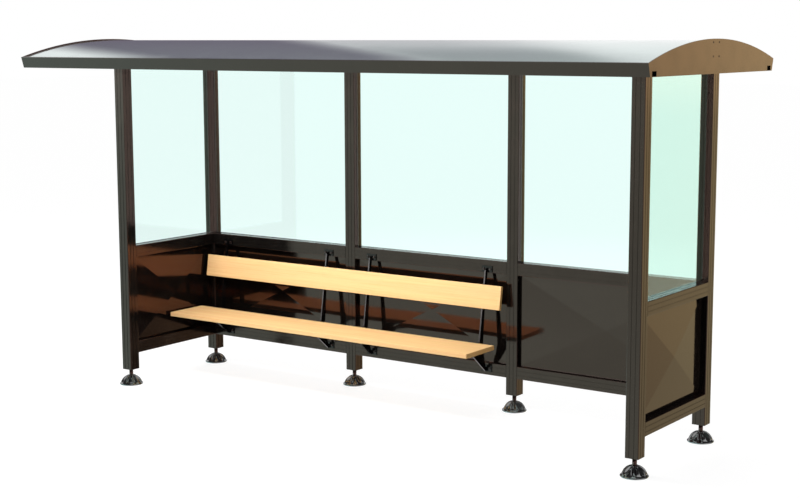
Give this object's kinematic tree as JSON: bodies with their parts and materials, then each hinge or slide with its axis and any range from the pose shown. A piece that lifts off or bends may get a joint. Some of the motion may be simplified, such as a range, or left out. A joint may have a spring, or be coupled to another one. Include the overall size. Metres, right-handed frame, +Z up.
{
  "type": "bus shelter",
  "caption": "Open-fronted bus shelter: dark square-profile frame on levelling feet, glass over creased panels on three walls, arched roof and a two-board wooden bench.",
  "frame": {"origin": "on the ground under the middle of the roof", "axes": "+X along the shelter to the right seen from the open front, +Y from the open front to the back wall, +Z up"},
  "size_m": [4.414, 1.56, 2.3218],
  "materials": {
    "frame_paint": "satin dark bronze-grey paint",
    "panel_paint": "glossy dark bronze-grey paint",
    "roof_gloss": "high gloss, dark",
    "clear_glass": "clear toughened glass with a pale aqua tint",
    "bench_wood": "clear-lacquered pale wood",
    "foot_black": "glossy black",
    "bracket_paint": "glossy black paint"
  },
  "bodies": {
    "root": {"post_front_left": "frame_paint", "post_front_right": "frame_paint", "post_back_left": "frame_paint", "post_back_inner_left": "frame_paint", "post_back_inner_right": "frame_paint", "post_back_right": "frame_paint", "front_feet": "foot_black", "back_feet": "foot_black", "back_bottom_rails": "frame_paint", "left_bottom_rail": "frame_paint", "right_bottom_rail": "frame_paint", "back_mid_rails": "frame_paint", "left_mid_rail": "frame_paint", "right_mid_rail": "frame_paint", "back_top_rails": "frame_paint", "left_top_rail": "frame_paint", "right_top_rail": "frame_paint", "front_top_rail": "frame_paint", "glass_back_left": "clear_glass", "glass_back_middle": "clear_glass", "glass_back_right": "clear_glass", "glass_left": "clear_glass", "glass_right": "clear_glass", "panel_back_left": "panel_paint", "panel_back_middle": "panel_paint", "panel_back_right": "panel_paint", "panel_left": "panel_paint", "panel_right": "panel_paint", "bench_seat": "bench_wood", "bench_backrest": "bench_wood", "bench_bracket_1": "bracket_paint", "bench_bracket_2": "bracket_paint", "bench_bracket_3": "bracket_paint", "bench_bracket_4": "bracket_paint", "roof_sheet": "roof_gloss", "front_fascia": "frame_paint", "rear_fascia": "frame_paint", "front_edge_beam": "frame_paint", "rear_edge_beam": "frame_paint", "ridge_beam": "frame_paint", "roof_ribs": "frame_paint", "left_end_cap": "frame_paint", "right_end_cap": "frame_paint"}
  },
  "joints": []
}
